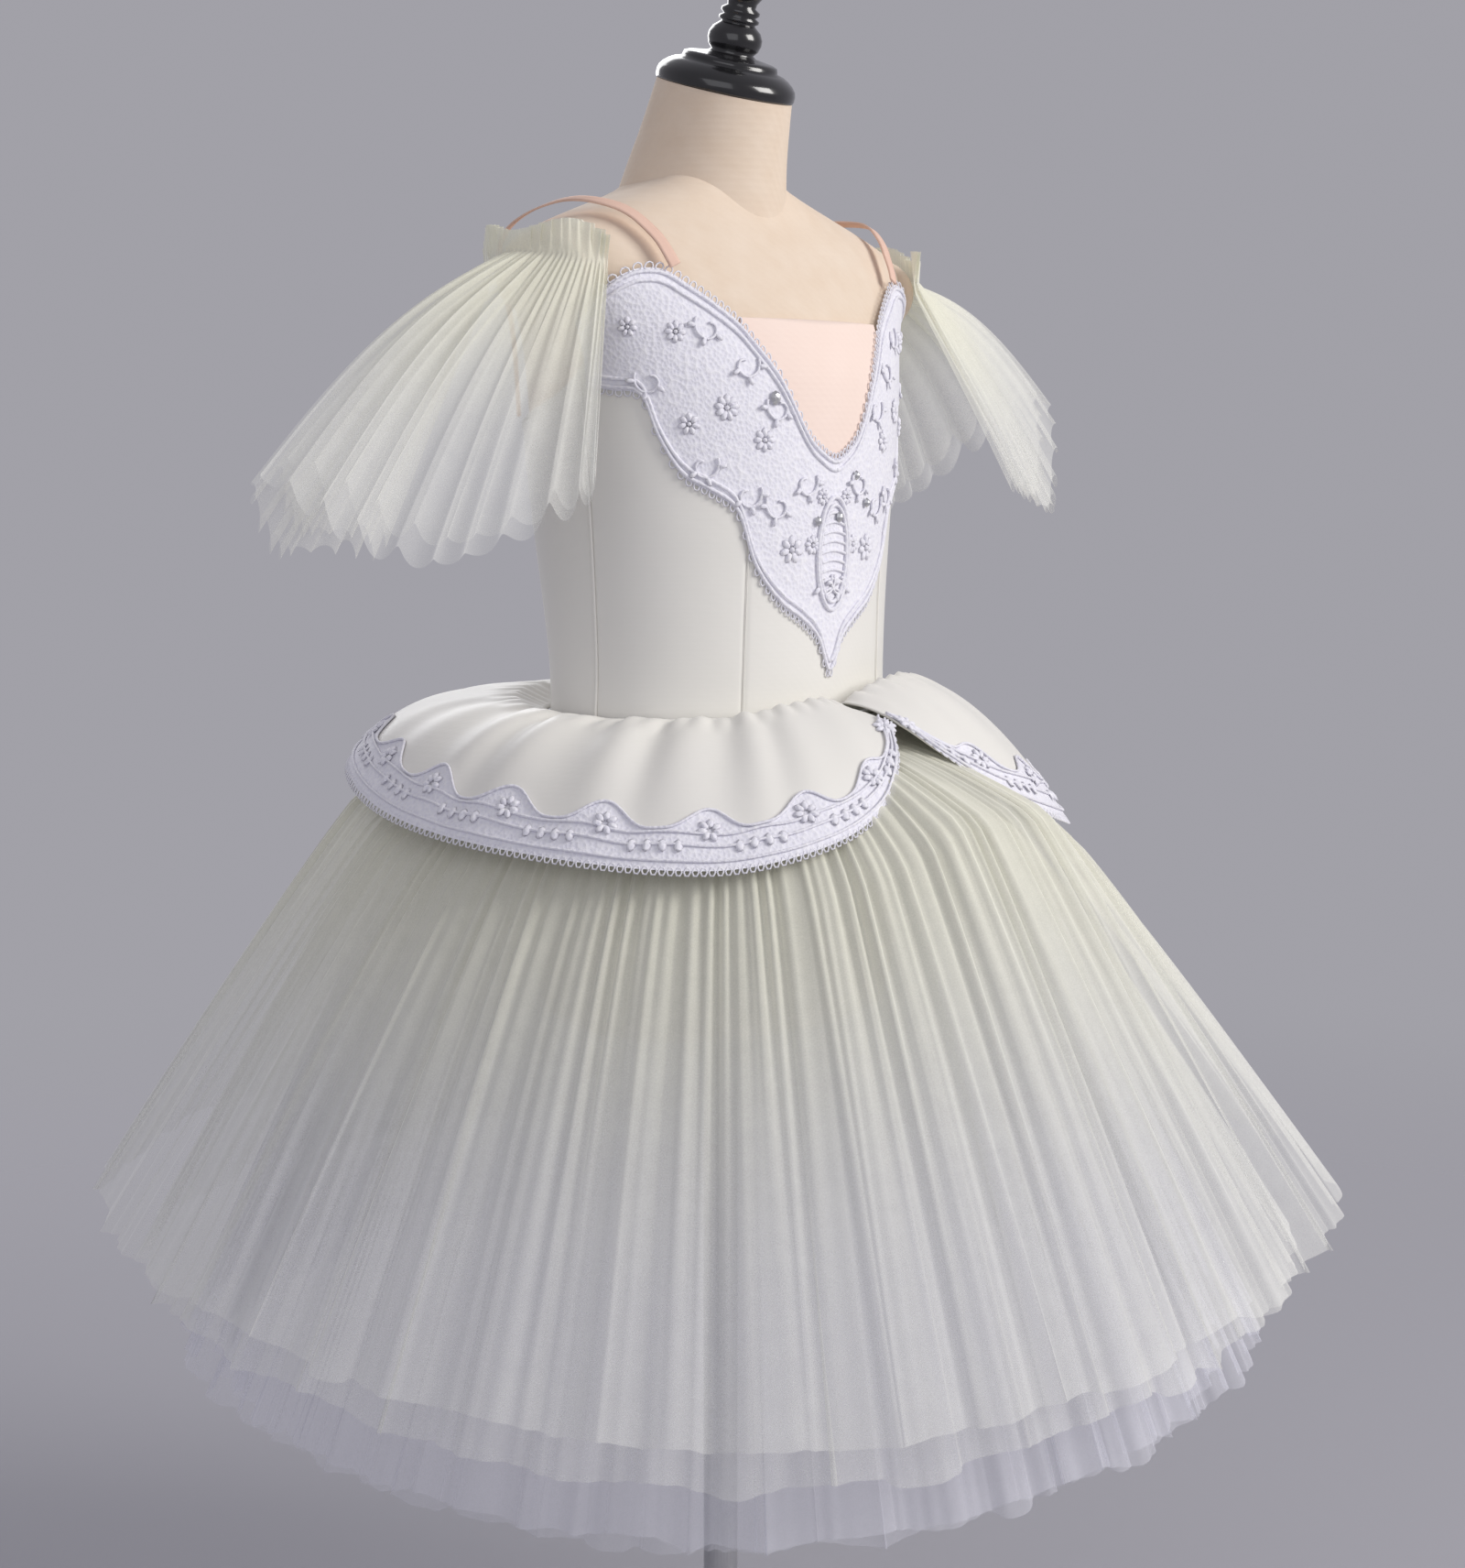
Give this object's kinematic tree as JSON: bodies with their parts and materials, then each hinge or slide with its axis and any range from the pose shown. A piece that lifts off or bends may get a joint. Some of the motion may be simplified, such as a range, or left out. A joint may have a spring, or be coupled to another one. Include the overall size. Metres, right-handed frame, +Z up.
{
  "type": "romantic ballet tutu on a limbless dress form",
  "caption": "Child's romantic ballet tutu with lace bodice, petal peplum, layered tulle skirt and tulle ruffle sleeves, on a limbless dress form with a round stand.",
  "frame": {"origin": "on the floor under the stand's pole", "axes": "+Z up, the wearer's front faces -Y, the wearer's right side is at -X"},
  "size_m": [0.717, 0.7224, 1.0474],
  "materials": {
    "jersey": "undyed linen jersey stretched over the form",
    "black_gloss": "turned, black gloss lacquer",
    "steel": "plain brushed steel",
    "ivory_satin": "ivory stretch satin, soft sheen",
    "nude_mesh": "fine nude stretch mesh, matt",
    "nude_elastic": "narrow nude elastic",
    "guipure_lace": "white raised guipure lace, slight lavender cast",
    "yellow_tulle": "sheer pale yellow tulle",
    "white_tulle": "sheer white tulle"
  },
  "bodies": {
    "root": {"form_torso": "jersey", "form_neck": "jersey", "form_arm_cap_right": "jersey", "form_arm_cap_left": "jersey", "form_cap_finial": "black_gloss", "stand_collar": "steel", "stand_pole": "steel", "stand_base": "steel", "bodice_front": "ivory_satin", "bodice_back_right": "ivory_satin", "bodice_back_left": "ivory_satin", "neck_insert": "nude_mesh", "lace_applique": "guipure_lace", "strap_right": "nude_elastic", "strap_left": "nude_elastic", "basque": "ivory_satin", "peplum_petal_right": "ivory_satin", "peplum_petal_left": "ivory_satin", "peplum_lace_right": "guipure_lace", "peplum_lace_left": "guipure_lace", "skirt_layer_outer": "yellow_tulle", "skirt_layer_second": "yellow_tulle", "skirt_layer_third": "white_tulle", "skirt_layer_inner": "white_tulle", "sleeve_right_upper": "yellow_tulle", "sleeve_right_under": "yellow_tulle", "sleeve_left_upper": "yellow_tulle", "sleeve_left_under": "yellow_tulle"}
  },
  "joints": []
}
